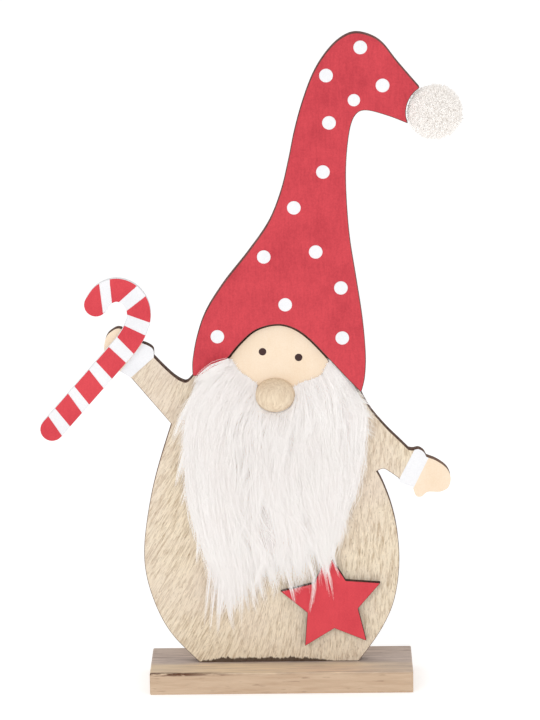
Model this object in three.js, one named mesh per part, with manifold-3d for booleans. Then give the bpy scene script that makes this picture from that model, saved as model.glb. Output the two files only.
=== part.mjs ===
// Standing wooden gnome cut from flat boards, with a fur beard, a pompom and a candy cane.
// Millimetres, +Z up. X runs along the base bar and the boards' fronts face -Y.
// The origin is the centre of the underside of the base bar.

import * as THREE from 'three';
import { mergeVertices } from 'three/addons/utils/BufferGeometryUtils.js';
import Module from 'manifold-3d';

const wasm = await Module();
wasm.setup();

// Driving dimensions
const baseLength = 120;
const baseDepth = 40;
const baseHeight = 10;
const boardThickness = 6; // body board and hat board
const appliqueThickness = 3; // face, star and candy cane
const backingThickness = 1;
const clearance = 0.3; // left between pieces that are cut to each other

const noseWidth = 18.2;
const noseHeight = 15.4;
const noseDepth = 9;
const noseCentre = [-1.3, 136.8];

const pompomRadius = 12.3;
const pompomCentre = [71.2, 264.8];
const hatTipNotchRadius = 13; // concave end of the hat, cut to hold the pompom

const starCentre = [23.4, 38.8];
const starTipRadius = 24;
const starNotchRadius = 12.2;
const starTurn = THREE.MathUtils.degToRad(4.5);

const caneWidth = 10.8;
const pileThickness = 11;
const pileEdgeRound = 4.5;

const screwSpacing = 40;
const screwShankRadius = 1.4;
const screwHeadRadius = 2.8;
const screwHeadDepth = 2.4;
const screwRecess = 0.3; // the head sits this far above the underside of the base
const screwLength = 25;
const screwPointLength = 4;

// Layers, as distances in front of the middle of the body board
const bodyFront = boardThickness / 2;
const hatFront = bodyFront + boardThickness;
const faceFront = bodyFront + appliqueThickness;
const backingFront = bodyFront + backingThickness;

const fineSteps = 5; // steps to each spline span
const roundSides = 32;

const points = (list) => list.map(([x, z]) => new THREE.Vector2(x, z));

const finish = (roughness, metalness) => (color) =>
  new THREE.MeshStandardMaterial({ color, roughness, metalness });
const wood = finish(0.75, 0);
const paint = finish(0.6, 0);
const fibre = finish(0.95, 0);
const steel = finish(0.35, 1);

// A flat outline in X and Z becomes a board that runs from one layer to the next.
function board(outline, backLayer, frontLayer) {
  const depth = frontLayer - backLayer;
  const options = { depth, bevelEnabled: false, curveSegments: fineSteps };
  const geometry = new THREE.ExtrudeGeometry(outline, options);
  geometry.translate(0, 0, backLayer);
  geometry.rotateX(Math.PI / 2);
  return geometry;
}

function toSolid(geometry) {
  const bare = geometry.clone();
  bare.deleteAttribute('normal');
  bare.deleteAttribute('uv');
  const merged = mergeVertices(bare, 1e-4);
  const vertProperties = Float32Array.from(merged.attributes.position.array);
  const triVerts = Uint32Array.from(merged.index.array);
  return new wasm.Manifold(new wasm.Mesh({ numProp: 3, vertProperties, triVerts }));
}

function toGeometry(solid) {
  const mesh = solid.getMesh();
  const geometry = new THREE.BufferGeometry();
  geometry.setAttribute('position', new THREE.BufferAttribute(mesh.vertProperties, 3));
  geometry.setIndex(new THREE.BufferAttribute(mesh.triVerts, 1));
  geometry.computeVertexNormals();
  return geometry;
}

function cut(geometry, tools) {
  return toGeometry(tools.reduce((solid, tool) => solid.subtract(toSolid(tool)), toSolid(geometry)));
}

// A countersunk wood screw, head down, standing on its axis. A gap makes the hole it goes in.
function screwBody(gap) {
  const shank = screwShankRadius + gap;
  const head = screwHeadRadius + gap;
  const bottom = gap > 0 ? -1 : screwRecess;
  const headTop = screwRecess + screwHeadDepth + gap;
  const top = screwRecess + screwLength + gap;
  const profile = points([
    [0, bottom], [head, bottom], [head, screwRecess + 0.4], [shank, headTop],
    [shank, top - screwPointLength], [0, top],
  ]);
  const geometry = new THREE.LatheGeometry(profile, 20);
  geometry.rotateX(Math.PI / 2);
  return geometry;
}

const screwPlaces = [-screwSpacing / 2, screwSpacing / 2];

const screwHoles = () => screwPlaces.map((x) => screwBody(clearance).translate(x, 0, 0));

function baseBlock() {
  const bar = new THREE.BoxGeometry(baseLength, baseDepth, baseHeight);
  bar.translate(0, 0, baseHeight / 2);
  return cut(bar, screwHoles());
}

// Flat foot, pear-shaped belly, both arms with their cuffs and hands, and a head behind the hat.
function bodyOutline() {
  const line = new THREE.Shape();
  line.moveTo(-37.5, baseHeight);
  line.splineThru(points([
    [-48, 21], [-54.2, 30.5], [-59, 42.5], [-61.6, 54], [-62, 65], [-60.5, 78], [-57.8, 92], [-54, 106],
    [-48.5, 123],
  ]));
  line.lineTo(-66, 144.3); // underside of the raised sleeve
  line.lineTo(-71, 147.6); // cuff
  line.splineThru(points([
    [-75.5, 151], [-78, 157], [-77.4, 162.6], [-74.8, 166], [-70.2, 167.2], [-62.3, 161],
  ])); // hand
  line.splineThru(points([[-58.4, 159.5], [-56, 157.5], [-55.8, 154.1]])); // cuff
  line.splineThru(points([
    [-51, 149], [-47, 145.2], [-43.4, 142.8], [-40.6, 142.7], [-36.5, 147.5],
  ])); // shoulder
  line.splineThru(points([
    [-34.5, 161], [-29, 176], [-19, 190], [-5, 200.5], [11, 203], [25, 194], [33, 178], [36.5, 158],
    [36.8, 138],
  ])); // head
  line.splineThru(points([[41.5, 129.1], [48.7, 120.2], [55.5, 113.3], [58.8, 109.9]])); // lowered sleeve
  line.splineThru(points([[60.8, 109.6], [63.3, 110], [65.6, 108.6], [66.9, 106.3]])); // cuff
  line.splineThru(points([
    [71.5, 104.4], [76, 100.9], [77.8, 96.5], [76.7, 92], [73, 90], [67.5, 90], [64.4, 87.8],
    [62, 88.4], [60.6, 92.4],
  ])); // hand and thumb
  line.lineTo(54.8, 94.4);
  line.lineTo(54.2, 96.6);
  line.splineThru(points([[50.5, 99.3], [47.3, 101], [44.3, 99.8]])); // underside of the sleeve
  line.splineThru(points([
    [47, 94.5], [50.5, 85], [53, 74.5], [54.3, 62], [53.8, 49.5], [51.6, 38], [48, 29], [42.6, 19.8],
    [35.5, baseHeight],
  ]));
  line.closePath();
  return line;
}

// Tall pointed hat that leans over to the right, with an arch above the face.
function hatOutline() {
  const line = new THREE.Shape();
  const [ballX, ballZ] = pompomCentre;
  const notchTop = THREE.MathUtils.degToRad(121.5);
  const notchBottom = THREE.MathUtils.degToRad(201.5);
  const notchPoint = (angle) => [
    ballX + hatTipNotchRadius * Math.cos(angle),
    ballZ + hatTipNotchRadius * Math.sin(angle),
  ];
  line.moveTo(-38.2, 146.5);
  line.splineThru(points([
    [-38.2, 153.5], [-36, 164.5], [-31.8, 176], [-23.5, 189], [-12.6, 202.7], [-3.2, 216.2], [2.4, 230],
    [5.8, 243.5], [8.6, 256.7], [12.3, 269.8], [17.2, 282.5], [22.8, 291.5], [29, 297.8], [35.5, 300.7],
    [42.5, 299.4], [48.3, 295.6], [54.6, 287.5], notchPoint(notchTop),
  ]));
  line.absarc(ballX, ballZ, hatTipNotchRadius, notchTop, notchBottom, false);
  line.splineThru(points([
    [50.5, 263.5], [41, 266.1], [36.2, 264.4], [33.4, 257.5], [31.7, 243], [31.7, 228], [33, 209],
    [35.8, 190], [38.4, 172], [39.7, 156], [39.2, 145], [37.5, 138],
  ]));
  line.splineThru(points([
    [31, 144.9], [22.3, 154.6], [13.6, 163.8], [6.3, 168.5], [-1, 169.7], [-9.8, 167.2], [-17, 161],
    [-23.2, 153.6], [-30, 146.5],
  ])); // arch above the face
  line.closePath();
  return line;
}

// Rounded face that nests under the arch of the hat.
function faceOutline() {
  const line = new THREE.Shape();
  line.moveTo(-22.4, 153.4);
  line.splineThru(points([
    [-16.4, 160.7], [-9.5, 166.6], [-1, 169], [6.1, 167.8], [13.2, 163.2], [21.6, 154.4], [23.2, 151.5],
    [22.3, 148.4], [18.3, 144], [13.2, 141.1], [6, 139.6], [-2, 139.4], [-9, 140.7], [-14.5, 143.6],
    [-19.3, 148.4], [-22.3, 152], [-22.4, 153.4],
  ]));
  return line;
}

// Woven backing of the fur, cut to the lower edge of the hat and the face.
function backingOutline() {
  const line = new THREE.Shape();
  line.moveTo(-35.5, 145.8);
  line.lineTo(-30.2, 145.8);
  line.lineTo(-24, 151.6);
  line.splineThru(points([
    [-20.2, 147.8], [-15.3, 142.8], [-9.5, 139.8], [-2, 138.4], [6, 138.6], [13.6, 140.1], [19, 143.2],
    [23, 147.6], [24.4, 150.8],
  ]));
  line.lineTo(36.6, 137.6);
  line.splineThru(points([
    [38.2, 127], [37.4, 112], [34, 94], [29.5, 78], [21, 66], [6, 57], [-10, 50], [-24, 50],
    [-32.5, 60], [-37, 78], [-40.5, 96], [-43, 114], [-41, 131], [-35.5, 145.8],
  ]));
  return line;
}

// Line inside the rounded edge of the hanging fur.
function pileOutline() {
  const line = new THREE.Shape();
  line.moveTo(-32, 139.9);
  line.splineThru(points([
    [-23.5, 142.5], [-16, 137.2], [-8, 134], [-1, 133.2], [7, 133.6], [15, 135.2], [23.5, 141],
    [30.5, 137.5], [34.5, 131.5], [36.5, 121], [34.5, 106], [31, 92], [26, 78], [20, 64], [8, 55],
    [-4, 48], [-14, 40], [-23, 31], [-28, 32], [-30.5, 46], [-33.5, 62], [-36.5, 78], [-39.5, 94],
    [-41.5, 110], [-40, 126], [-32, 139.9],
  ]));
  return line;
}

function starOutline(margin = 0) {
  const line = new THREE.Shape();
  const [x, z] = starCentre;
  for (let i = 0; i < 10; i++) {
    const radius = (i % 2 ? starNotchRadius : starTipRadius) + margin;
    const angle = starTurn + Math.PI / 2 + (i * Math.PI) / 5;
    const corner = [x + radius * Math.cos(angle), z + radius * Math.sin(angle)];
    if (i) line.lineTo(...corner);
    else line.moveTo(...corner);
  }
  line.closePath();
  return line;
}

// The cane's outline stays half a width from the middle line, with round ends.
function caneOutline() {
  const middle = new THREE.SplineCurve(points([
    [-102.4, 121.7], [-90.2, 135.5], [-78.1, 149.1], [-72, 156], [-67.4, 161.4], [-63.8, 167.3],
    [-62, 173.3], [-62.9, 179.3], [-66.7, 184], [-72.2, 185.7], [-77.7, 183.6], [-81.2, 179],
  ]));
  const steps = 44;
  const capSteps = 8;
  const half = caneWidth / 2;
  const ring = [];
  const place = (t, turn) => {
    const centre = middle.getPoint(t);
    const along = middle.getTangent(t);
    const angle = Math.atan2(along.y, along.x) + turn;
    ring.push([centre.x + half * Math.cos(angle), centre.y + half * Math.sin(angle)]);
  };
  for (let i = 0; i <= steps; i++) place(i / steps, -Math.PI / 2);
  for (let i = 1; i < capSteps; i++) place(1, -Math.PI / 2 + (i * Math.PI) / capSteps);
  for (let i = steps; i >= 0; i--) place(i / steps, Math.PI / 2);
  for (let i = 1; i < capSteps; i++) place(0, Math.PI / 2 + (i * Math.PI) / capSteps);
  return new THREE.Shape(points(ring));
}

// Half of a slightly flattened bead, with its flat side on the face.
function nose() {
  const steps = 10;
  const profile = [[0, 0]];
  for (let i = 0; i <= steps; i++) {
    const angle = (i * Math.PI) / 2 / steps;
    const onAxis = i === steps;
    profile.push([onAxis ? 0 : Math.cos(angle), Math.sin(angle)]);
  }
  const geometry = new THREE.LatheGeometry(points(profile), roundSides);
  geometry.rotateX(Math.PI);
  geometry.scale(noseWidth / 2, noseDepth, noseHeight / 2);
  geometry.translate(noseCentre[0], -faceFront, noseCentre[1]);
  return geometry;
}

// Soft mass of the fur, kept clear of the nose and the star.
function beardPile() {
  const geometry = new THREE.ExtrudeGeometry(pileOutline(), {
    depth: pileThickness - 2 * pileEdgeRound,
    bevelThickness: pileEdgeRound,
    bevelSize: pileEdgeRound,
    bevelSegments: 3,
    curveSegments: 3,
  });
  geometry.translate(0, 0, backingFront + clearance + pileEdgeRound);
  geometry.rotateX(Math.PI / 2);
  const gap = 2 * clearance;
  const noseRoom = new THREE.SphereGeometry(1, roundSides, 20);
  noseRoom.scale(noseWidth / 2 + gap, noseDepth + gap, noseHeight / 2 + gap);
  noseRoom.translate(noseCentre[0], -faceFront, noseCentre[1]);
  const faceRoom = board(faceOutline(), 0, faceFront + gap);
  const starRoom = board(starOutline(2 * gap), 0, faceFront + gap);
  return cut(geometry, [noseRoom, faceRoom, starRoom]);
}

function pompom() {
  const geometry = new THREE.SphereGeometry(pompomRadius, roundSides, 20);
  const hatMiddle = (bodyFront + hatFront) / 2;
  geometry.translate(pompomCentre[0], -hatMiddle, pompomCentre[1]);
  return geometry;
}

const group = new THREE.Group();

function add(name, geometry, material) {
  const mesh = new THREE.Mesh(geometry, material);
  mesh.name = name;
  group.add(mesh);
}

add('base_block', baseBlock(), wood(0xcaa986));
add('body_board', cut(board(bodyOutline(), -bodyFront, bodyFront), screwHoles()), wood(0xdfccaa));
add('hat_board', board(hatOutline(), bodyFront, hatFront), paint(0xd6454f));
add('face_plate', board(faceOutline(), bodyFront, faceFront), paint(0xf7e2c6));
add('nose', nose(), wood(0xd9c7a5));
add('beard_backing', board(backingOutline(), bodyFront, backingFront), fibre(0xe8e2da));
add('beard_pile', beardPile(), fibre(0xf2eeec));
add('pompom', pompom(), fibre(0xefebe7));
add('candy_cane', board(caneOutline(), bodyFront, faceFront), paint(0xf6f2f0));
add('star', board(starOutline(), bodyFront, faceFront), paint(0xd9424c));
screwPlaces.forEach((x, i) => {
  add(`base_screw_${['left', 'right'][i]}`, screwBody(0).translate(x, 0, 0), steel(0xb8b8ba));
});

export default group;
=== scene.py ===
# Looks of the standing wooden gnome: painted and scorched boards, fur beard, pompom and screws.
# Metres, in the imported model's frame. Sizes below are given in millimetres and turned by mm.
import math
import random

import bmesh
import bpy
from mathutils import Matrix, Vector


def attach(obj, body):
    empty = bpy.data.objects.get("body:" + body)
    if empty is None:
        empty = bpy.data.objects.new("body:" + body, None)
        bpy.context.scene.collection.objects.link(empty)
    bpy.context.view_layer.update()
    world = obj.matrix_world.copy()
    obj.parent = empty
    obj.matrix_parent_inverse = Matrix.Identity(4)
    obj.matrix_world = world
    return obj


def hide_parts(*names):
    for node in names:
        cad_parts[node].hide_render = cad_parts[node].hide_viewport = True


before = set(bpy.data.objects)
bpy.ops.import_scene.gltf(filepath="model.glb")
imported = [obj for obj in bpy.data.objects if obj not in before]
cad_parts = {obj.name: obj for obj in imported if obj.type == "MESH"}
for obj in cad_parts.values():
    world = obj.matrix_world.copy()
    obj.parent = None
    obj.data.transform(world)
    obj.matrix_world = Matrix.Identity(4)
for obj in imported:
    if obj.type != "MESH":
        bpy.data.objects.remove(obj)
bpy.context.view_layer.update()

mm = 0.001
scene = bpy.context.scene

# Fronts of the layers, as y in millimetres
boardFront = -3.0
backingFront = -4.0
faceFront = -6.0
hatFront = -9.0


def tone(red, green, blue):
    # a screen colour, 0 to 255, as the linear colour that shaders take
    parts = [c / 255 for c in (red, green, blue)]
    linear = [c / 12.92 if c <= 0.04045 else ((c + 0.055) / 1.055) ** 2.4 for c in parts]
    return (*linear, 1.0)


def put(tree, kind, feeds=None, **settings):
    node = tree.nodes.new(kind)
    for name, value in settings.items():
        setattr(node, name, value)
    for name, value in (feeds or {}).items():
        if isinstance(value, bpy.types.NodeSocket):
            tree.links.new(value, node.inputs[name])
        else:
            node.inputs[name].default_value = value
    return node


def calc(tree, operation, first, second=0.0, third=None):
    feeds = {0: first, 1: second}
    if third is not None:
        feeds[2] = third
    return put(tree, "ShaderNodeMath", feeds, operation=operation).outputs[0]


def vectorCalc(tree, operation, first, second):
    return put(tree, "ShaderNodeVectorMath", {0: first, 1: second}, operation=operation).outputs[0]


def span(tree, value, low, high, toLow=0.0, toHigh=1.0, shape="LINEAR"):
    feeds = {"Value": value, "From Min": low, "From Max": high, "To Min": toLow, "To Max": toHigh}
    return put(tree, "ShaderNodeMapRange", feeds, interpolation_type=shape).outputs[0]


def blendColour(tree, share, first, second, how="MIX"):
    node = put(tree, "ShaderNodeMix", {0: share, 6: first, 7: second}, data_type="RGBA", blend_type=how)
    return node.outputs[2]


def newGroup(name, kind, inputs, outputs):
    tree = bpy.data.node_groups.new(name, kind)
    for label, socket, value in inputs:
        made = tree.interface.new_socket(name=label, in_out="INPUT", socket_type=socket)
        if value is not None:
            made.default_value = value
    for label, socket in outputs:
        tree.interface.new_socket(name=label, in_out="OUTPUT", socket_type=socket)
    ins = tree.nodes.new("NodeGroupInput").outputs
    outs = tree.nodes.new("NodeGroupOutput").inputs
    return tree, ins, outs


def useGroup(tree, group, feeds):
    return put(tree, "ShaderNodeGroup", feeds, node_tree=group).outputs


def noise(tree, vector, scale, detail=2.0, rough=0.5, bend=0.0):
    feeds = {"Vector": vector, "Scale": scale, "Detail": detail, "Roughness": rough, "Distortion": bend}
    return put(tree, "ShaderNodeTexNoise", feeds).outputs[0]


def makeWoodGrain():
    # streaks run along Z and lean over in X; sizes are counts for each metre
    inputs = [
        ("Vector", "NodeSocketVector", None), ("Lean", "NodeSocketFloat", 0.0),
        ("Across", "NodeSocketFloat", 700.0), ("Along", "NodeSocketFloat", 90.0),
    ]
    outputs = [
        ("Streak", "NodeSocketFloat"), ("Fibre", "NodeSocketFloat"), ("Pore", "NodeSocketFloat"),
    ]
    tree, ins, outs = newGroup("wood grain", "ShaderNodeTree", inputs, outputs)
    place = put(tree, "ShaderNodeSeparateXYZ", {0: ins["Vector"]}).outputs
    side = calc(tree, "SUBTRACT", place[0], calc(tree, "MULTIPLY", ins["Lean"], place[2]))
    across = calc(tree, "MULTIPLY", side, ins["Across"])
    deep = calc(tree, "MULTIPLY", place[1], ins["Across"])
    along = calc(tree, "MULTIPLY", place[2], ins["Along"])
    coarse = put(tree, "ShaderNodeCombineXYZ", {0: across, 1: deep, 2: along}).outputs[0]
    links = tree.links
    links.new(noise(tree, coarse, 1.0, 4.0, 0.68, 0.25), outs["Streak"])
    fine = vectorCalc(tree, "MULTIPLY", coarse, (3.4, 3.4, 2.2))
    links.new(noise(tree, fine, 1.0, 2.0, 0.6), outs["Fibre"])
    short = vectorCalc(tree, "MULTIPLY", coarse, (1.8, 1.8, 3.6))
    links.new(span(tree, noise(tree, short, 1.0, 2.0, 0.5), 0.62, 0.74), outs["Pore"])
    return tree


def makePaintMottle():
    # soft clouds, brush streaks and small specks of a thin coat on wood
    inputs = [("Vector", "NodeSocketVector", None), ("Cloud", "NodeSocketFloat", 60.0)]
    outputs = [("Cloud", "NodeSocketFloat"), ("Streak", "NodeSocketFloat"), ("Speck", "NodeSocketFloat")]
    tree, ins, outs = newGroup("paint mottle", "ShaderNodeTree", inputs, outputs)
    links = tree.links
    links.new(noise(tree, ins["Vector"], ins["Cloud"], 4.0, 0.6), outs["Cloud"])
    drawn = vectorCalc(tree, "MULTIPLY", ins["Vector"], (900.0, 900.0, 120.0))
    links.new(noise(tree, drawn, 1.0, 3.0, 0.6), outs["Streak"])
    links.new(span(tree, noise(tree, ins["Vector"], 1500.0, 1.0), 0.35, 0.7), outs["Speck"])
    return tree


def makeScorch():
    # how dark a sawn and scorched edge is, 0 to 1, streaked through the board
    inputs = [("Vector", "NodeSocketVector", None)]
    outputs = [("Dark", "NodeSocketFloat"), ("Ridge", "NodeSocketFloat")]
    tree, ins, outs = newGroup("scorched edge", "ShaderNodeTree", inputs, outputs)
    links = tree.links
    ridges = vectorCalc(tree, "MULTIPLY", ins["Vector"], (1100.0, 160.0, 1100.0))
    ridge = noise(tree, ridges, 1.0, 2.0, 0.6)
    links.new(ridge, outs["Ridge"])
    patches = noise(tree, ins["Vector"], 45.0, 3.0, 0.6)
    mixed = calc(tree, "ADD", calc(tree, "MULTIPLY", patches, 0.65), calc(tree, "MULTIPLY", ridge, 0.35))
    links.new(span(tree, mixed, 0.36, 0.62), outs["Dark"])
    return tree


woodGrain = makeWoodGrain()
paintMottle = makePaintMottle()
scorchedEdge = makeScorch()


def newMaterial(name, roughness, specular=0.3, metallic=0.0):
    material = bpy.data.materials.new(name)
    material.use_nodes = True
    tree = material.node_tree
    shader = next(n for n in tree.nodes if n.type == "BSDF_PRINCIPLED")
    shader.inputs["Roughness"].default_value = roughness
    shader.inputs["Specular IOR Level"].default_value = specular
    shader.inputs["Metallic"].default_value = metallic
    where = put(tree, "ShaderNodeTexCoord").outputs["Object"]
    return material, tree, shader, where


def bump(tree, shader, height, strength, depth):
    feeds = {"Height": height, "Strength": strength, "Distance": depth}
    tree.links.new(put(tree, "ShaderNodeBump", feeds).outputs[0], shader.inputs["Normal"])


# the darkest brown in this table is painted shadow along the board's foot, where it stands on the base
bodyWood = {
    "pale": tone(234, 219, 195), "deep": tone(190, 168, 140), "grey": tone(222, 205, 192),
    "pore": tone(150, 124, 98), "footShadowColour": tone(58, 34, 18), "leanLeft": 0.62, "leanRight": 0.05,
}


def makeBodyWood(name="body wood", paintFootShadow=True):
    material, tree, shader, where = newMaterial(name, 0.72)
    place = put(tree, "ShaderNodeSeparateXYZ", {0: where}).outputs
    lean = span(tree, place[0], -0.05, 0.03, bodyWood["leanLeft"], bodyWood["leanRight"], "SMOOTHSTEP")
    grain = useGroup(tree, woodGrain, {"Vector": where, "Lean": lean, "Across": 1180.0, "Along": 165.0})
    colour = blendColour(tree, span(tree, grain["Streak"], 0.46, 0.66), bodyWood["pale"], bodyWood["deep"])
    clouds = span(tree, noise(tree, where, 28.0, 3.0), 0.42, 0.72)
    colour = blendColour(tree, calc(tree, "MULTIPLY", clouds, 0.55), colour, bodyWood["grey"])
    colour = blendColour(tree, calc(tree, "MULTIPLY", grain["Pore"], 0.6), colour, bodyWood["pore"])
    fibres = span(tree, grain["Fibre"], 0.3, 0.7, 0.82, 1.1)
    shade = put(tree, "ShaderNodeCombineColor", {0: fibres, 1: fibres, 2: fibres}).outputs[0]
    colour = blendColour(tree, 1.0, colour, shade, "MULTIPLY")
    if paintFootShadow:
        # ragged dark band painted along the board's foot where it stands on the base: painted shadow in the
        # seam between the parts
        ragged = vectorCalc(tree, "MULTIPLY", where, (420.0, 260.0, 90.0))
        edge = calc(tree, "MULTIPLY", noise(tree, ragged, 1.0, 4.0, 0.7), 5.2 * mm)
        aside = calc(tree, "ABSOLUTE", calc(tree, "ADD", place[0], 8 * mm))
        reach = span(tree, aside, 0.02, 0.032, 1.0, 0.25)
        top = calc(tree, "ADD", 9.6 * mm, calc(tree, "MULTIPLY", edge, reach))
        footShadow = span(tree, calc(tree, "SUBTRACT", top, place[2]), -0.15 * mm, 0.45 * mm)
        colour = blendColour(tree, calc(tree, "MULTIPLY", footShadow, 0.92), colour, bodyWood["footShadowColour"])
    tree.links.new(colour, shader.inputs["Base Color"])
    tree.links.new(span(tree, grain["Streak"], 0.3, 0.7, 0.66, 0.82), shader.inputs["Roughness"])
    height = calc(tree, "ADD", grain["Streak"], calc(tree, "MULTIPLY", grain["Fibre"], 0.5))
    height = calc(tree, "SUBTRACT", height, calc(tree, "MULTIPLY", grain["Pore"], 0.3))
    bump(tree, shader, height, 0.5, 0.35 * mm)
    return material


# the top's wood is greyer than the sides' and its streaks darker: painted shade, as for a face that gets less
# light; it shows most next to the board, where the pale strip over the front of the top fades out
baseWood = {
    "side": tone(203, 178, 152), "sideDeep": tone(187, 160, 134), "top": tone(208, 189, 176),
    "shadedTopDeep": tone(168, 149, 138), "strip": tone(232, 208, 174), "mark": tone(96, 62, 44),
}


def makeBaseWood(name, pale, deep, onTop):
    material, tree, shader, where = newMaterial(name, 0.7)
    turned = put(tree, "ShaderNodeMapping", {"Vector": where, "Rotation": (0, math.pi / 2, 0)}).outputs[0]
    grain = useGroup(tree, woodGrain, {"Vector": turned, "Across": 520.0, "Along": 40.0})
    colour = blendColour(tree, span(tree, grain["Streak"], 0.35, 0.68), pale, deep)
    colour = blendColour(tree, calc(tree, "MULTIPLY", grain["Pore"], 0.35), colour, baseWood["mark"])
    place = put(tree, "ShaderNodeSeparateXYZ", {0: where}).outputs
    if onTop:
        wander = calc(tree, "MULTIPLY", noise(tree, where, 55.0, 3.0), 5.0 * mm)
        strip = span(tree, calc(tree, "ADD", place[1], wander), -4.6 * mm, -0.6 * mm, 1.0, 0.0)
        strip = calc(tree, "MULTIPLY", strip, span(tree, grain["Streak"], 0.35, 0.62, 0.95, 0.5))
        strip = calc(tree, "MULTIPLY", strip, span(tree, place[0], 20 * mm, 60 * mm, 1.0, 0.45))
        colour = blendColour(tree, strip, colour, baseWood["strip"])
    # dark marks along the left part of the upper front edge
    nearEdge = calc(tree, "MULTIPLY", span(tree, place[1], -18.9 * mm, -17 * mm, 1.0, 0.0),
                    span(tree, place[2], 8.6 * mm, 9.3 * mm))
    fade = span(tree, place[0], -44 * mm, -20 * mm, 1.0, 0.15)
    broken = vectorCalc(tree, "MULTIPLY", where, (160.0, 900.0, 900.0))
    dashes = span(tree, noise(tree, broken, 1.0, 3.0, 0.6), 0.36, 0.52)
    mark = calc(tree, "MULTIPLY", calc(tree, "MULTIPLY", nearEdge, fade), dashes)
    colour = blendColour(tree, mark, colour, baseWood["mark"])
    tree.links.new(colour, shader.inputs["Base Color"])
    tree.links.new(span(tree, grain["Streak"], 0.3, 0.7, 0.62, 0.8), shader.inputs["Roughness"])
    bump(tree, shader, calc(tree, "ADD", grain["Streak"], grain["Fibre"]), 0.4, 0.25 * mm)
    return material


def makePaint(name, colour, deep, streaks=0.25, rough=0.55, dip=0.10):
    # a thin coat of paint that lets some of the wood's grain through
    material, tree, shader, where = newMaterial(name, rough)
    coat = useGroup(tree, paintMottle, {"Vector": where})
    share = span(tree, coat["Cloud"], 0.4, 0.7, 0.0, 0.55)
    share = calc(tree, "ADD", share, calc(tree, "MULTIPLY", span(tree, coat["Streak"], 0.4, 0.75), streaks))
    share = calc(tree, "ADD", share, calc(tree, "MULTIPLY", coat["Speck"], 0.34))
    tree.links.new(blendColour(tree, share, colour, deep), shader.inputs["Base Color"])
    roughness = span(tree, coat["Cloud"], 0.3, 0.7, rough - 0.06, rough + 0.08)
    tree.links.new(roughness, shader.inputs["Roughness"])
    height = calc(tree, "ADD", coat["Streak"], calc(tree, "MULTIPLY", coat["Speck"], 0.35))
    bump(tree, shader, height, 0.35, dip * mm)
    return material


def makeScorchedWood(name, pale, dark):
    material, tree, shader, where = newMaterial(name, 0.85, 0.2)
    burn = useGroup(tree, scorchedEdge, {"Vector": where})
    tree.links.new(blendColour(tree, burn["Dark"], pale, dark), shader.inputs["Base Color"])
    tree.links.new(span(tree, burn["Ridge"], 0.3, 0.7, 0.75, 0.92), shader.inputs["Roughness"])
    bump(tree, shader, burn["Ridge"], 0.5, 0.2 * mm)
    return material


def makeNoseWood():
    material, tree, shader, where = newMaterial("nose wood", 0.62)
    grain = useGroup(tree, woodGrain, {"Vector": where, "Lean": 0.06, "Across": 900.0, "Along": 110.0})
    streak = span(tree, grain["Streak"], 0.36, 0.66)
    colour = blendColour(tree, streak, tone(234, 216, 190), tone(212, 190, 162))
    colour = blendColour(tree, calc(tree, "MULTIPLY", grain["Pore"], 0.45), colour, tone(166, 138, 106))
    tree.links.new(colour, shader.inputs["Base Color"])
    tree.links.new(span(tree, grain["Streak"], 0.3, 0.7, 0.55, 0.7), shader.inputs["Roughness"])
    bump(tree, shader, calc(tree, "ADD", grain["Streak"], grain["Fibre"]), 0.35, 0.2 * mm)
    return material


def makeFibre(name, root, tip, glow, rough=0.7):
    # hair and yarn: each strand has its own shade, and the roots are duller
    # glow is light that the fibres give out, raised until the fur was pale enough; lower it for dim scenes
    material, tree, shader, where = newMaterial(name, rough, 0.25)
    along = put(tree, "ShaderNodeAttribute", attribute_name="along").outputs["Fac"]
    own = put(tree, "ShaderNodeAttribute", attribute_name="shade").outputs["Fac"]
    colour = blendColour(tree, span(tree, along, 0.0, 0.7), root, tip)
    duller = span(tree, own, 0.0, 1.0, 0.95, 1.0)
    grey = put(tree, "ShaderNodeCombineColor", {0: duller, 1: duller, 2: duller}).outputs[0]
    colour = blendColour(tree, 1.0, colour, grey, "MULTIPLY")
    drift = span(tree, noise(tree, where, 70.0, 2.0), 0.4, 0.7, 0.0, 0.5)
    colour = blendColour(tree, drift, colour, root)
    tree.links.new(colour, shader.inputs["Base Color"])
    tree.links.new(span(tree, own, 0.0, 1.0, rough - 0.08, rough + 0.08), shader.inputs["Roughness"])
    tree.links.new(colour, shader.inputs["Emission Color"])
    shader.inputs["Emission Strength"].default_value = glow
    return material


def makeKnit(name, thread, gap):
    # loops of the knitted cloth that the fur is rooted in
    material, tree, shader, where = newMaterial(name, 0.9, 0.2)
    place = put(tree, "ShaderNodeSeparateXYZ", {0: where}).outputs
    rows = calc(tree, "SINE", calc(tree, "MULTIPLY", place[2], 5200.0))
    zigzag = calc(tree, "MULTIPLY", calc(tree, "ABSOLUTE", rows), 0.5)
    wales = calc(tree, "SINE", calc(tree, "ADD", calc(tree, "MULTIPLY", place[0], 4200.0), zigzag))
    loops = calc(tree, "MULTIPLY", calc(tree, "ADD", calc(tree, "MULTIPLY", rows, wales), 1.0), 0.5)
    fuzz = noise(tree, where, 1800.0, 2.0)
    height = calc(tree, "ADD", loops, calc(tree, "MULTIPLY", fuzz, 0.4))
    colour = blendColour(tree, span(tree, height, 0.2, 1.1), gap, thread)
    tree.links.new(colour, shader.inputs["Base Color"])
    tree.links.new(span(tree, fuzz, 0.3, 0.7, 0.84, 0.96), shader.inputs["Roughness"])
    bump(tree, shader, height, 0.6, 0.2 * mm)
    return material


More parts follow.
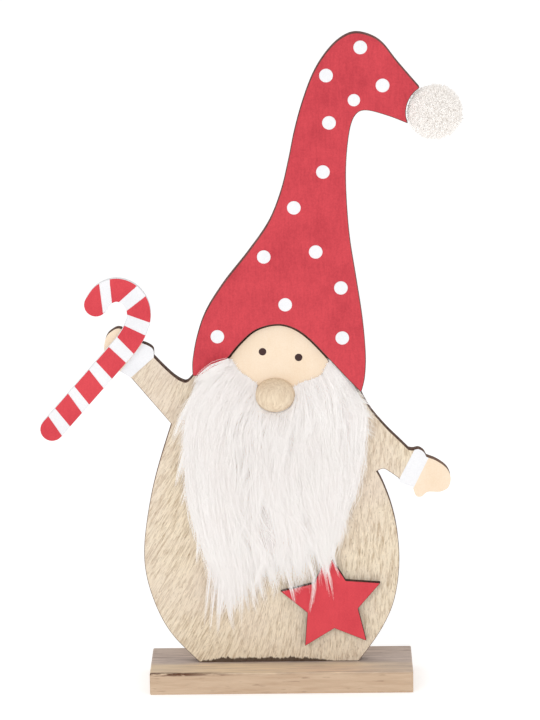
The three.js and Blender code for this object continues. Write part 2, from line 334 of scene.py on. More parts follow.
def makeSteel():
    material, tree, shader, where = newMaterial("zinc plated steel", 0.32, 0.5, 1.0)
    cloud = noise(tree, where, 260.0, 4.0, 0.6)
    colour = blendColour(tree, span(tree, cloud, 0.35, 0.7), tone(205, 205, 208), tone(160, 162, 168))
    rub = span(tree, noise(tree, where, 1400.0, 2.0), 0.62, 0.75)
    colour = blendColour(tree, calc(tree, "MULTIPLY", rub, 0.5), colour, tone(118, 110, 96))
    tree.links.new(colour, shader.inputs["Base Color"])
    tree.links.new(span(tree, cloud, 0.3, 0.7, 0.26, 0.45), shader.inputs["Roughness"])
    bump(tree, shader, noise(tree, where, 2400.0, 2.0), 0.15, 0.05 * mm)
    return material


woodFront = makeBodyWood()
woodBack = makeBodyWood("body wood back", False)
scorched = makeScorchedWood("scorched edge brown", tone(128, 100, 84), tone(66, 44, 36))
scorchedHat = makeScorchedWood("scorched hat edge", tone(126, 84, 78), tone(84, 52, 48))
scorchedDark = makeScorchedWood("scorched edge dark", tone(92, 60, 52), tone(40, 24, 22))
redPaint = makePaint("red paint", tone(209, 65, 75), tone(180, 48, 60), 0.35)
starPaint = makePaint("star red paint", tone(218, 68, 77), tone(198, 54, 66), 0.25)
facePaint = makePaint("face paint", tone(242, 223, 200), tone(235, 210, 180), 0.15, 0.5)
whitePaint = makePaint("white paint", tone(238, 238, 240), tone(226, 226, 229), 0.15, 0.5)
darkPaint = makePaint("dark paint", tone(66, 38, 36), tone(48, 28, 28), 0.2, 0.4)
baseSide = makeBaseWood("base wood sides", baseWood["side"], baseWood["sideDeep"], False)
baseTopShaded = makeBaseWood("base wood top", baseWood["top"], baseWood["shadedTopDeep"], True)
noseWood = makeNoseWood()
furFibre = makeFibre("beard fur", tone(247, 243, 241), tone(252, 250, 248), 0.165)
shortWool = makeFibre("short wool", tone(224, 219, 217), tone(232, 227, 225), 0.0, 0.85)
pompomYarn = makeFibre("pompom yarn", tone(244, 240, 236), tone(252, 249, 246), 0.17)
knitCloth = makeKnit("knitted backing", tone(236, 232, 226), tone(196, 190, 182))
steel = makeSteel()
print("materials made")


def addPiece(name, mesh, replaced=(), smooth=False):
    piece = bpy.data.objects.new(name, mesh)
    scene.collection.objects.link(piece)
    if smooth:
        mesh.shade_smooth()
    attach(piece, "root")
    if replaced:
        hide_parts(*replaced)
    return piece


def meshFrom(shape, name, materials):
    mesh = bpy.data.meshes.new(name)
    shape.to_mesh(mesh)
    shape.free()
    for material in materials:
        mesh.materials.append(material)
    return mesh


def copyOfNode(node):
    shape = bmesh.new()
    shape.from_mesh(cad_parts[node].data)
    bmesh.ops.remove_doubles(shape, verts=shape.verts, dist=2e-6)
    flat = math.radians(0.2)
    bmesh.ops.dissolve_limit(shape, angle_limit=flat, verts=shape.verts, edges=shape.edges)
    return shape


def softenBoard(shape, width, segments=2):
    # rounds the long edges between the flat faces and the sawn sides
    sharp = math.radians(60)
    edges = [e for e in shape.edges if len(e.link_faces) == 2 and e.calc_face_angle() > sharp]
    bmesh.ops.bevel(shape, geom=edges, offset=width, segments=segments, profile=0.5, affect="EDGES",
                    clamp_overlap=True)


def sortFaces(shape, sideIndex=1, backIndex=2):
    # front faces take the first material, sides and backs the ones asked for
    for face in shape.faces:
        facing = face.normal.y
        if facing < -0.98:
            face.material_index = 0
        elif facing > 0.98:
            face.material_index = backIndex
        else:
            face.material_index = sideIndex
        face.smooth = abs(facing) < 0.98
    keepFlat(shape)


def keepFlat(shape):
    # the rounded edges are shaded smooth, and the broad faces stay flat up to them
    corner, broad = math.radians(50), 60 * mm * mm
    for edge in shape.edges:
        if len(edge.link_faces) == 2:
            areas = [f.calc_area() for f in edge.link_faces]
            bend = edge.calc_face_angle()
            if bend > corner or (bend > 0.1 and max(areas) > broad):
                edge.smooth = False


def boardPiece(name, node, materials, soften=0.25):
    shape = copyOfNode(node)
    softenBoard(shape, soften * mm)
    sortFaces(shape)
    bmesh.ops.triangulate(shape, faces=[f for f in shape.faces if len(f.verts) > 4])
    return addPiece(name, meshFrom(shape, name, materials), [node])


boardPiece("gnome_body", "body_board", [woodFront, scorched, woodBack])
boardPiece("pointed_hat", "hat_board", [redPaint, scorchedHat, woodBack], 0.32)
boardPiece("gnome_face", "face_plate", [facePaint, scorched, woodBack], 0.5)
boardPiece("lucky_star", "star", [starPaint, scorchedDark, woodBack], 0.15)
boardPiece("cane_board", "candy_cane", [whitePaint, whitePaint, woodBack], 0.3)
print("boards softened and painted")


def makeBase():
    shape = copyOfNode("base_block")
    outer = []
    for edge in shape.edges:
        ends = [v.co for v in edge.verts]
        if all(abs(abs(c.x) - 60 * mm) < 1e-5 or abs(abs(c.y) - 20 * mm) < 1e-5 for c in ends):
            if len(edge.link_faces) == 2 and edge.calc_face_angle() > math.radians(60):
                outer.append(edge)
    bmesh.ops.bevel(shape, geom=outer, offset=0.6 * mm, segments=3, profile=0.5, affect="EDGES")
    shape.normal_update()
    # faces that look up take the top's wood, which carries painted shade
    for face in shape.faces:
        face.material_index = 1 if face.normal.z > 0.7 else 0
        face.smooth = max(abs(part) for part in face.normal) < 0.98
    keepFlat(shape)
    bmesh.ops.triangulate(shape, faces=[f for f in shape.faces if len(f.verts) > 4])
    addPiece("base_bar", meshFrom(shape, "base_bar", [baseSide, baseTopShaded]), ["base_block"])


makeBase()

coat = 0.12 * mm  # how far a coat of paint stands up from the wood

armPaint = {
    "right_cuff": {
        "keepPast": [((54.7, 96.5), (61.1, 109.0))], "keepBefore": [((62.3, 94.6), (67.1, 104.4))],
    },
    "right_hand": {"keepPast": [((62.3, 94.6), (67.1, 104.4))], "keepBefore": []},
    "left_cuff": {
        "keepPast": [((-56.7, 153.2), (-65.7, 145.3))], "keepBefore": [((-60.3, 161.0), (-70.9, 147.8))],
    },
    "left_hand": {"keepPast": [((-60.3, 161.0), (-70.9, 147.8))], "keepBefore": []},
}


def paintedPart(name, rules, inside, material):
    shape = copyOfNode("body_board")
    away = [f for f in shape.faces if f.normal.y > -0.9]
    bmesh.ops.delete(shape, geom=away, context="FACES")
    bmesh.ops.triangulate(shape, faces=shape.faces)
    for key, sign in (("keepPast", 1), ("keepBefore", -1)):
        for (x1, z1), (x2, z2) in rules[key]:
            start = Vector((x1, 0, z1)) * mm
            run = Vector((x2 - x1, 0, z2 - z1))
            normal = Vector((run.z, 0, -run.x)).normalized() * sign
            bmesh.ops.bisect_plane(shape, geom=[*shape.verts, *shape.edges, *shape.faces], dist=1e-7,
                                   plane_co=start, plane_no=normal, clear_inner=True)
    seed = min(shape.faces, key=lambda f: (f.calc_center_median() - Vector(inside) * mm).length)
    island, fresh = {seed}, [seed]
    while fresh:
        face = fresh.pop()
        for edge in face.edges:
            for other in edge.link_faces:
                if other not in island:
                    island.add(other)
                    fresh.append(other)
    bmesh.ops.delete(shape, geom=[f for f in shape.faces if f not in island], context="FACES")
    bmesh.ops.dissolve_limit(shape, angle_limit=0.01, verts=shape.verts, edges=shape.edges)
    thickenCoat(shape, coat)
    return addPiece(name, meshFrom(shape, name, [material]))


def thickenCoat(shape, depth):
    # flat faces that look to the front become a closed coat standing on the wood
    made = bmesh.ops.extrude_face_region(shape, geom=list(shape.faces), use_keep_orig=True)
    moved = [g for g in made["geom"] if isinstance(g, bmesh.types.BMVert)]
    bmesh.ops.translate(shape, verts=moved, vec=(0, -depth, 0))
    bmesh.ops.recalc_face_normals(shape, faces=shape.faces)


paintedPart("right_cuff_paint", armPaint["right_cuff"], (61, boardFront, 101), whitePaint)
paintedPart("right_hand_paint", armPaint["right_hand"], (70, boardFront, 97), facePaint)
paintedPart("left_cuff_paint", armPaint["left_cuff"], (-63, boardFront, 153), whitePaint)
paintedPart("left_hand_paint", armPaint["left_hand"], (-71, boardFront, 158), facePaint)


cane = {
    "width": 10.8,
    "middle": [
        (-102.4, 121.7), (-90.2, 135.5), (-78.1, 149.1), (-72, 156), (-67.4, 161.4), (-63.8, 167.3),
        (-62, 173.3), (-62.9, 179.3), (-66.7, 184), (-72.2, 185.7), (-77.7, 183.6), (-81.2, 179),
    ],
    # start and end of each red stripe along the middle line, and how much each end slants
    "stripes": [
        (-6, 2.2, 0.0, 0.28), (7.5, 16.2, 0.19, 0.26), (21.0, 31.05, 0.2, 0.21), (36.5, 45.8, 0.13, 0.06),
        (51.5, 59.6, 0.14, 0.03), (65.4, 72.5, 0.23, -0.23), (78.3, 86.4, 0.23, 0.22), (91.8, 102, 1.0, 0.0),
    ],
}


def throughPoints(points, steps):
    # smooth line through the points, as many places for each span
    places = []
    count = len(points)
    for i in range(count - 1):
        before, after = points[max(i - 1, 0)], points[min(i + 2, count - 1)]
        first, second = points[i], points[i + 1]
        for k in range(steps):
            t = k / steps
            place = []
            for a, b, c, d in zip(before, first, second, after):
                startSlope, endSlope = (c - a) / 2, (d - b) / 2
                place.append((2 * b - 2 * c + startSlope + endSlope) * t ** 3
                             + (3 * c - 3 * b - 2 * startSlope - endSlope) * t ** 2 + startSlope * t + b)
            places.append(tuple(place))
    places.append(tuple(points[-1]))
    return places


def measuredLine(points, steps=24):
    # gives a function from a length along the line to a place and a direction
    line = [Vector(p) for p in throughPoints(points, steps)]
    lengths = [0.0]
    for a, b in zip(line, line[1:]):
        lengths.append(lengths[-1] + (b - a).length)

    def at(length):
        whole = lengths[-1]
        if length <= 0:
            heading = (line[1] - line[0]).normalized()
            return line[0] + heading * length, heading
        if length >= whole:
            heading = (line[-1] - line[-2]).normalized()
            return line[-1] + heading * (length - whole), heading
        i = next(k for k, v in enumerate(lengths) if v >= length)
        share = (length - lengths[i - 1]) / (lengths[i] - lengths[i - 1])
        return line[i - 1].lerp(line[i], share), (line[i] - line[i - 1]).normalized()

    return at, lengths[-1]


def stripeEdge(at, start, slant, off):
    # length at which the straight edge of a stripe meets the line that runs this far beside the middle
    corner, heading = at(start)
    edge = Vector((-heading.y, heading.x)) + heading * slant
    length = start + slant * off
    for _ in range(16):
        place, way = at(length)
        gap = place + Vector((-way.y, way.x)) * off - corner
        length -= 0.7 * (gap.x * edge.y - gap.y * edge.x)
    return length


def makeStripes():
    at, whole = measuredLine(cane["middle"])
    half = cane["width"] / 2 - 0.12
    shape = bmesh.new()
    rows, columns = 9, 12
    for start, end, slantStart, slantEnd in cane["stripes"]:
        grid = []
        for j in range(columns + 1):
            off = half * math.sin((j / columns - 0.5) * math.pi)
            roundEnd = math.sqrt(max(half * half - off * off, 0.0))
            low = max(stripeEdge(at, start, slantStart, off), -roundEnd)
            high = min(stripeEdge(at, end, slantEnd, off), whole + roundEnd)
            low = min(low, high - 0.02)
            column = []
            for i in range(rows + 1):
                place, heading = at(low + (high - low) * i / rows)
                aside = Vector((-heading.y, heading.x))
                point = place + aside * off
                column.append(shape.verts.new((point.x * mm, faceFront * mm, point.y * mm)))
            grid.append(column)
        for j in range(columns):
            for i in range(rows):
                corners = [grid[j][i], grid[j + 1][i], grid[j + 1][i + 1], grid[j][i + 1]]
                shape.faces.new(corners)
    bmesh.ops.remove_doubles(shape, verts=shape.verts, dist=1e-6)
    bmesh.ops.dissolve_degenerate(shape, edges=shape.edges, dist=1e-6)
    thickenCoat(shape, coat)
    addPiece("cane_stripes", meshFrom(shape, "cane_stripes", [starPaint]))


makeStripes()
print("cuffs, hands and stripes painted")


hatDots = {
    "places": [
        (38.3, 294.2), (23.1, 281.9), (48.0, 277.2), (35.3, 270.8), (24.2, 260.8), (21.3, 238.8),
        (8.2, 222.8), (-5.5, 200.7), (17.7, 202.7), (28.8, 186.2), (3.8, 178.8), (-26.8, 164.5),
         (29.2, 163.3),
    ],
    "radius": 3.05, "smallOne": 3, "smallRadius": 2.75, "height": 0.18,
}
eyes = {"places": [(-6.7, 156.7), (9.5, 153.9)], "radius": 1.72, "height": 0.22}


def makeDotTree():
    inputs = [
        ("Geometry", "NodeSocketGeometry", None), ("Height", "NodeSocketFloat", 0.0002),
        ("Crown", "NodeSocketFloat", 0.86), ("Material", "NodeSocketMaterial", None),
    ]
    outputs = [("Geometry", "NodeSocketGeometry")]
    tree, ins, outs = newGroup("paint dots", "GeometryNodeTree", inputs, outputs)
    disc = put(tree, "GeometryNodeMeshCone", {
        "Vertices": 48, "Side Segments": 2, "Fill Segments": 2, "Radius Top": ins["Crown"],
        "Radius Bottom": 1.0, "Depth": 1.0,
    }, fill_type="NGON").outputs["Mesh"]
    size = put(tree, "GeometryNodeInputNamedAttribute", {"Name": "size"}, data_type="FLOAT").outputs[0]
    scale = put(tree, "ShaderNodeCombineXYZ", {0: size, 1: size, 2: ins["Height"]}).outputs[0]
    facing = put(tree, "FunctionNodeEulerToRotation", {0: (math.pi / 2, 0.0, 0.0)}).outputs[0]
    placed = put(tree, "GeometryNodeInstanceOnPoints", {
        "Points": ins["Geometry"], "Instance": disc, "Rotation": facing, "Scale": scale,
    }).outputs[0]
    real = put(tree, "GeometryNodeRealizeInstances", {0: placed}).outputs[0]
    done = put(tree, "GeometryNodeSetMaterial", {0: real, "Material": ins["Material"]}).outputs[0]
    tree.links.new(done, outs[0])
    return tree


def runTree(holder, tree, values):
    # applies the tree with its inputs and gives back a plain mesh
    modifier = holder.modifiers.new("make", "NODES")
    modifier.node_group = tree
    for item in tree.interface.items_tree:
        if item.in_out == "INPUT" and item.name in values:
            modifier[item.identifier] = values[item.name]
    held = holder.evaluated_get(bpy.context.evaluated_depsgraph_get())
    mesh = bpy.data.meshes.new_from_object(held)
    bpy.data.objects.remove(holder)
    return mesh


def pointHolder(places, sizes, front):
    mesh = bpy.data.meshes.new("places")
    mesh.from_pydata([(x * mm, front * mm, z * mm) for x, z in places], [], [])
    size = mesh.attributes.new("size", "FLOAT", "POINT")
    size.data.foreach_set("value", [s * mm for s in sizes])
    holder = bpy.data.objects.new("places", mesh)
    scene.collection.objects.link(holder)
    return holder


dotTree = makeDotTree()
dotSizes = [hatDots["radius"]] * len(hatDots["places"])
dotSizes[hatDots["smallOne"]] = hatDots["smallRadius"]
dotMesh = runTree(pointHolder(hatDots["places"], dotSizes, hatFront), dotTree,
                  {"Height": hatDots["height"] * mm, "Crown": 0.93, "Material": whitePaint})
addPiece("hat_dots", dotMesh)
eyeMesh = runTree(pointHolder(eyes["places"], [eyes["radius"]] * 2, faceFront), dotTree,
                  {"Height": eyes["height"] * mm, "Crown": 0.8, "Material": darkPaint})
addPiece("gnome_eyes", eyeMesh)


noseSizes = {"centre": (-1.3, 136.8), "halfWidth": 9.1, "halfHeight": 7.7, "depth": 9.0}


def makeNose():
    shape = bmesh.new()
    rings, around = 20, 64
    cx, cz = noseSizes["centre"]
    loops = []
    for i in range(rings + 1):
        lift = i / rings * math.pi / 2
        out = math.cos(lift) ** 0.9
        y = faceFront - noseSizes["depth"] * math.sin(lift)
        if i == rings:
            loops.append([shape.verts.new((cx * mm, y * mm, cz * mm))])
            continue
        loop = []
        for k in range(around):
            turn = k / around * math.tau
            x = cx + noseSizes["halfWidth"] * out * math.cos(turn)
            z = cz + noseSizes["halfHeight"] * out * math.sin(turn)
            loop.append(shape.verts.new((x * mm, y * mm, z * mm)))
        loops.append(loop)
    for low, high in zip(loops, loops[1:]):
        for k in range(around):
            after = (k + 1) % around
            if len(high) == 1:
                shape.faces.new([low[k], low[after], high[0]])
            else:
                shape.faces.new([low[k], low[after], high[after], high[k]])
    shape.faces.new(loops[0])
    bmesh.ops.recalc_face_normals(shape, faces=shape.faces)
    for face in shape.faces:
        face.smooth = len(face.verts) < 5
    addPiece("bead_nose", meshFrom(shape, "bead_nose", [noseWood]), ["nose"])


makeNose()
print("dots, eyes and nose made")


screw = {
    "bottom": 0.3, "head": 2.8, "headDepth": 2.4, "shank": 1.4, "length": 25, "point": 4, "pitch": 1.2,
    "thread": 0.32, "around": 20, "places": [-20, 20], "slotWidth": 0.75, "slotReach": 1.9, "slotDepth": 1.1,
}


def makeScrew():
    # one countersunk screw on its axis, head down, with a threaded shank and a cross in its head
    shape = bmesh.new()
    base, top = screw["bottom"], screw["bottom"] + screw["length"]
    heights = [
        (base, screw["head"]), (base + 0.4, screw["head"]), (base + screw["headDepth"], screw["shank"]),
    ]
    plain = len(heights)
    z = base + screw["headDepth"] + 0.3
    while z < top - 0.2:
        heights.append((z, None))
        z += screw["pitch"] / 4
    rings = []
    for i, (z, radius) in enumerate(heights):
        ring = []
        for k in range(screw["around"]):
            turn = k / screw["around"] * math.tau
            if i < plain:
                r = radius
            else:
                taper = min(1.0, (top - z) / screw["point"])
                wave = ((z / screw["pitch"] + k / screw["around"]) % 1.0)
                crest = max(0.0, 1 - abs(wave - 0.5) * 4)
                r = (screw["shank"] - screw["thread"] * (1 - crest)) * taper ** 0.8
            ring.append(shape.verts.new((r * math.cos(turn) * mm, r * math.sin(turn) * mm, z * mm)))
        rings.append(ring)
    tip = shape.verts.new((0, 0, top * mm))
    for low, high in zip(rings, rings[1:]):
        for k in range(screw["around"]):
            after = (k + 1) % screw["around"]
            shape.faces.new([low[k], low[after], high[after], high[k]])
    for k in range(screw["around"]):
        shape.faces.new([rings[-1][k], rings[-1][(k + 1) % screw["around"]], tip])
    shape.faces.new(list(reversed(rings[0])))
    bmesh.ops.recalc_face_normals(shape, faces=shape.faces)
    mesh = meshFrom(shape, "screw_blank", [steel])
    blank = bpy.data.objects.new("screw_blank", mesh)
    scene.collection.objects.link(blank)
    cutters = []
    for turned in (False, True):
        long, wide = screw["slotReach"] * mm, screw["slotWidth"] / 2 * mm
        bar = bmesh.new()
        bmesh.ops.create_cube(bar, size=1.0)
        size = (wide * 2, long * 2, screw["slotDepth"] * 2 * mm) if turned else (
            long * 2, wide * 2, screw["slotDepth"] * 2 * mm)
        bmesh.ops.scale(bar, verts=bar.verts, vec=size)
        bmesh.ops.translate(bar, verts=bar.verts, vec=(0, 0, base * mm))
        for v in bar.verts:
            if v.co.z > base * mm:
                v.co.x *= 0.45
                v.co.y *= 0.45
        cutter = bpy.data.objects.new("cross_cutter", meshFrom(bar, "cross_cutter", []))
        scene.collection.objects.link(cutter)
        cutters.append(cutter)
        cut = blank.modifiers.new("cross", "BOOLEAN")
        cut.object, cut.operation, cut.solver = cutter, "DIFFERENCE", "EXACT"
    held = blank.evaluated_get(bpy.context.evaluated_depsgraph_get())
    made = bpy.data.meshes.new_from_object(held)
    for thing in [blank, *cutters]:
        bpy.data.objects.remove(thing)
    return made


def makeScrewTree():
    inputs = [
        ("Geometry", "NodeSocketGeometry", None), ("Screw", "NodeSocketObject", None),
        ("Material", "NodeSocketMaterial", None),
    ]
    outputs = [("Geometry", "NodeSocketGeometry")]
    tree, ins, outs = newGroup("set screws", "GeometryNodeTree", inputs, outputs)
    shape = put(tree, "GeometryNodeObjectInfo", {"Object": ins["Screw"]}).outputs["Geometry"]
    turn = put(tree, "FunctionNodeRandomValue", {"Min": (0, 0, 0), "Max": (0, 0, 3.0), "Seed": 4},
               data_type="FLOAT_VECTOR").outputs[0]
    placed = put(tree, "GeometryNodeInstanceOnPoints", {
        "Points": ins["Geometry"], "Instance": shape,
        "Rotation": put(tree, "FunctionNodeEulerToRotation", {0: turn}).outputs[0],
    }).outputs[0]
    real = put(tree, "GeometryNodeRealizeInstances", {0: placed}).outputs[0]
    done = put(tree, "GeometryNodeSetMaterial", {0: real, "Material": ins["Material"]}).outputs[0]
    tree.links.new(done, outs[0])
    return tree


screwShape = bpy.data.objects.new("screw_shape", makeScrew())
scene.collection.objects.link(screwShape)
screwPlaces = pointHolder([(x, 0) for x in screw["places"]], [1, 1], 0)
screwMesh = runTree(screwPlaces, makeScrewTree(), {"Screw": screwShape, "Material": steel})
bpy.data.objects.remove(screwShape)
addPiece("base_screws", screwMesh, ["base_screw_left", "base_screw_right"])
print("screws cut")


def makeBacking():
    shape = copyOfNode("beard_backing")
    area = sum(f.calc_area() for f in shape.faces if f.normal.y < -0.9)
    for face in shape.faces:
        face.smooth = False
    bmesh.ops.triangulate(shape, faces=[f for f in shape.faces if len(f.verts) > 4])
    mesh = meshFrom(shape, "fur_backing", [knitCloth])
    cloth = addPiece("fur_backing", mesh, ["beard_backing"])


makeBacking()


beard = {
    # lines that the hair follows from the cheeks down, from the left edge to the right edge
    "flow": [
        [(-21.5, 153), (-26.5, 149.5), (-31, 145.5), (-34.5, 140.5), (-37.5, 135), (-40, 128), (-40.5, 119),
         (-40.5, 110), (-40, 98), (-39, 86.5), (-36.5, 76), (-33.5, 65.5), (-29.5, 54.5),
          (-27, 45), (-26.8, 35)],
        [(-18.8, 148.4), (-23.5, 142), (-29, 133), (-32, 124), (-33.5, 112), (-33.5, 100.5), (-32.5, 89),
         (-30.5, 77), (-27.5, 65), (-24.5, 53.5), (-22.5, 44), (-21.6, 32.5)],
        [(-10.6, 142), (-17, 134), (-22, 123.5), (-24, 112), (-25, 100.5), (-24.5, 88.5), (-22.5, 77),
         (-20, 65), (-16.5, 53.5), (-13.8, 38)],
        [(-1.8, 132.5), (-3.5, 127), (-5.5, 120), (-6.5, 110.5), (-5.5, 99), (-3.5, 87.5),
         (-1, 76.5), (1.5, 66),
         (3, 56.5), (4, 45)],
        [(9.4, 141), (12, 131.5), (11, 121), (10, 110.5), (11, 99), (13, 87), (16, 76.5),
         (18, 66), (19.5, 59),
         (20, 52.5)],
        [(20.4, 145.4), (25, 137.5), (26.5, 126.5), (26, 116), (25.5, 104.5), (25, 93),
         (24.5, 82.5), (23.5, 73),
         (22, 64.5), (21.5, 57.5)],
        [(24, 152.2), (31.5, 140.5), (36, 131.5), (37.5, 125), (37, 116), (35, 104.5), (33, 93), (29.5, 82.5),
         (27, 74), (24.5, 66.5), (23, 60)],
    ],
    "locks": 660, "strandsPerLock": 38, "pieces": 6, "lockRadius": 2.6, "tipShare": 0.42,
    "strandRadius": 0.1, "frizz": 4.6, "rise": (4.5, 9.5), "seed": 11,
    # thin wisps that stray over the hat, the body's sides, the foot of the beard and the star
    "strays": [
        [(-21, 153.2), (-25, 152.2), (-29.5, 149.9), (-34, 146.6), (-38.5, 140)],
        [(-21.5, 152.4), (-26, 151), (-30.5, 148.6), (-34.8, 144.8), (-38.2, 138)],
        [(-22, 151.4), (-26.5, 150.2), (-31.5, 147.3), (-36, 142), (-40, 134)],
        [(-22, 150.4), (-27, 148.9), (-32, 145.4), (-36.4, 139.5), (-39.6, 132)],
        [(-23, 149.6), (-28, 148), (-33, 144.3), (-37.5, 138), (-42, 128)],
        [(-34, 137), (-41, 127), (-45, 118), (-48, 110)], [(-36, 122), (-42, 111), (-46.4, 95)],
        [(-36, 104), (-41, 94), (-44.8, 85)], [(-35, 84), (-37.5, 70), (-39.4, 56.5)],
        [(-31, 58), (-33, 43), (-34.8, 27)], [(-26, 54), (-28, 39), (-29, 22.5)],
        [(-22, 52), (-23.2, 38), (-21, 24.5)], [(-16, 62), (-16, 48), (-14, 33)],
        [(-10, 64), (-9.6, 52), (-7, 40)], [(-2, 68), (0, 58), (1.5, 46)], [(-13, 66),
         (-13.4, 54), (-11.5, 41)],
        [(-7, 68), (-6, 56), (-4, 44)], [(-4, 66), (-2.4, 55), (-1, 45)], [(3, 70), (4.4, 60), (7, 49)],
        [(1, 70), (4, 58), (5.4, 48), (7.4, 37.6)], [(8, 76), (13, 62), (15.6, 49), (13.2, 33.6)],
        [(14, 76), (18.4, 62), (21, 52), (22.4, 42.5)], [(20, 84), (24, 70), (25, 60), (27.5, 51)],
        [(26, 92), (29, 80), (31.6, 68)], [(31, 118), (36, 104), (38.4, 92)],
    ],
    "strayStrands": 20, "strayRadius": 1.7, "strayTipShare": 0.28, "strayLift": 2.2,
    "cheekLocks": 90, "cheekStrands": 26, "cheekRadius": 1.5, "cheekTipShare": 0.9,
    "edgeWisps": 28, "edgeStrands": 18, "edgeRadius": 2.2, "edgeTipShare": 0.6,
    "hatEdge": (22.3, 154.6), "hatEdgeNormal": (0.738, 0.676),
    "starPlace": (23.4, 38.8), "starReach": 27.0, "woolReach": 0.8, "woolThickness": 5.0,
}


def floorUnder(x, z):
    # front of whatever lies behind the hair there
    sx, sz = beard["starPlace"]
    if math.hypot(x - sx, z - sz) < beard["starReach"]:
        return faceFront - 0.35
    if z > 139.5 and -23.5 < x < 24:
        return faceFront - 0.3
    if x < -22 and z > 145.6 + max(0.0, 1.04 * (x + 30)):
        return hatFront - 0.35
    if z > 50:
        return backingFront - 0.2
    return boardFront - 0.35


def clearOfNose(x, z, room=1.06):
    cx, cz = noseSizes["centre"]
    qx, qz = (x - cx) / noseSizes["halfWidth"], (z - cz) / noseSizes["halfHeight"]
    reach = math.hypot(qx, qz)
    if 1e-6 < reach < room:
        return cx + (x - cx) * room / reach, cz + (z - cz) * room / reach
    return x, z


def flowPlace(columns, across, down):
    # across and down run from 0 to 1 over the beard
    count = len(columns)
    spot = min(max(across, -0.14), 1.14) * (count - 1)
    i = min(max(int(spot), 0), count - 2)
    t = spot - i
    picks = [columns[min(max(i + k, 0), count - 1)] for k in (-1, 0, 1, 2)]
    at = []
    for line, whole in picks:
        place, _ = line(down * whole)
        at.append(place)
    if t < 0 or t > 1 or i in (0, count - 2):
        return at[1].lerp(at[2], t)
    a, b, c, d = at
    startSlope, endSlope = (c - a) / 2, (d - b) / 2
    return ((2 * b - 2 * c + startSlope + endSlope) * t ** 3
            + (3 * c - 3 * b - 2 * startSlope - endSlope) * t ** 2 + startSlope * t + b)


def makeUndercoat():
    # the dense mass of short wool that the long hair lies on, as one closed lumpy body
    columns = [measuredLine(line, 8) for line in beard["flow"]]
    shape = bmesh.new()
    across, down = 96, 110
    front, back = [], []
    for j in range(down + 1):
        v = 0.012 + j / down * beard["woolReach"]
        frontRow, backRow = [], []
        for i in range(across + 1):
            u = 0.015 + i / across * 0.97
            place = flowPlace(columns, u, v)
            x, z = clearOfNose(place.x, place.y, 1.09)
            side = min(1.0, min(i, across - i) / 9)
            end = min(1.0, min(j, down - j) / 12)
            lump = 0.55 * math.sin(u * 71 + 2.1 * math.sin(v * 9)) + 0.45 * math.sin(u * 33 - v * 11)
            thick = beard["woolThickness"] * math.sqrt(max(0.0, side * (2 - side) * end * (2 - end)))
            floor = floorUnder(x, z)
            y = min(backingFront - 0.25 - thick * (1 + 0.10 * lump), floor - 0.05)
            frontRow.append(shape.verts.new((x * mm, y * mm, z * mm)))
            backRow.append(shape.verts.new((x * mm, (floor + 0.1) * mm, z * mm)))
        front.append(frontRow)
        back.append(backRow)
    for j in range(down):
        for i in range(across):
            shape.faces.new([front[j][i], front[j + 1][i], front[j + 1][i + 1], front[j][i + 1]])
            shape.faces.new([back[j][i], back[j][i + 1], back[j + 1][i + 1], back[j + 1][i]])
    for j in range(down):
        for i, turned in ((0, False), (across, True)):
            side = [front[j][i], back[j][i], back[j + 1][i], front[j + 1][i]]
            shape.faces.new(list(reversed(side)) if turned else side)
    for i in range(across):
        for j, turned in ((0, True), (down, False)):
            side = [front[j][i], back[j][i], back[j][i + 1], front[j][i + 1]]
            shape.faces.new(list(reversed(side)) if turned else side)
    bmesh.ops.remove_doubles(shape, verts=shape.verts, dist=1e-6)
    bmesh.ops.recalc_face_normals(shape, faces=shape.faces)
    mesh = meshFrom(shape, "beard_undercoat", [shortWool])
    for name, value in (("along", 0.7), ("shade", 0.8)):
        mesh.attributes.new(name, "FLOAT", "POINT").data.foreach_set("value", [value] * len(mesh.vertices))
    addPiece("beard_undercoat", mesh, smooth=True)


def makeLocks():
    dice = random.Random(beard["seed"])
    columns = [measuredLine(line, 8) for line in beard["flow"]]
    locks = []
    for i in range(beard["locks"]):
        across = dice.random() * 1.02 - 0.01
        end = 0.26 + 0.79 * dice.random() ** 0.62
        length = dice.uniform(0.34, 0.5)
        start = min(max(end - length, 0.0), 0.68)
        end = max(end, start + 0.2)
        swing = dice.gauss(0.05 * (across - 0.5), 0.04)
        sway = dice.gauss(0, 0.013)
        edge = min(1.0, min(across, 1 - across) * 5 + 0.35)
        rise = dice.uniform(*beard["rise"]) * edge
        steps = 8
        lock = []
        for k in range(steps):
            along = k / (steps - 1)
            down = start + (end - start) * along
            drift = swing * along * along + sway * math.sin(along * 7 + i)
            place = flowPlace(columns, across + drift, down)
            x, z = clearOfNose(place.x, place.y)
            puff = 1 - math.exp(-along * 6)
            hang = 1 - 0.55 * along ** 2.5
            low = 1 - 0.5 * max(0.0, (down - 0.6) / 0.4)
            y = backingFront - 0.3 - rise * puff * hang * low
            floor = floorUnder(x, z)
            lock.append((x, min(y, floor), z, along, floor))
        locks.append(lock)
    return locks


def cheekLocks():
    # short hairs rooted close together all along the edge of the face
    dice = random.Random(beard["seed"] + 2)
    columns = [measuredLine(line, 8) for line in beard["flow"]]
    locks = []
    for i in range(beard["cheekLocks"]):
        across = (i + dice.random()) / beard["cheekLocks"]
        length = dice.uniform(0.13, 0.22)
        lean = dice.gauss(0, 0.02)
        lock = []
        for k in range(8):
            along = k / 7
            place = flowPlace(columns, across + lean * along, along * length - 0.004)
            x, z = clearOfNose(place.x, place.y)
            floor = floorUnder(x, z)
            y = backingFront - 0.3 - 5.5 * (1 - math.exp(-3.5 * along))
            lock.append((x, min(y, floor), z, along, floor))
        locks.append(lock)
    return locks


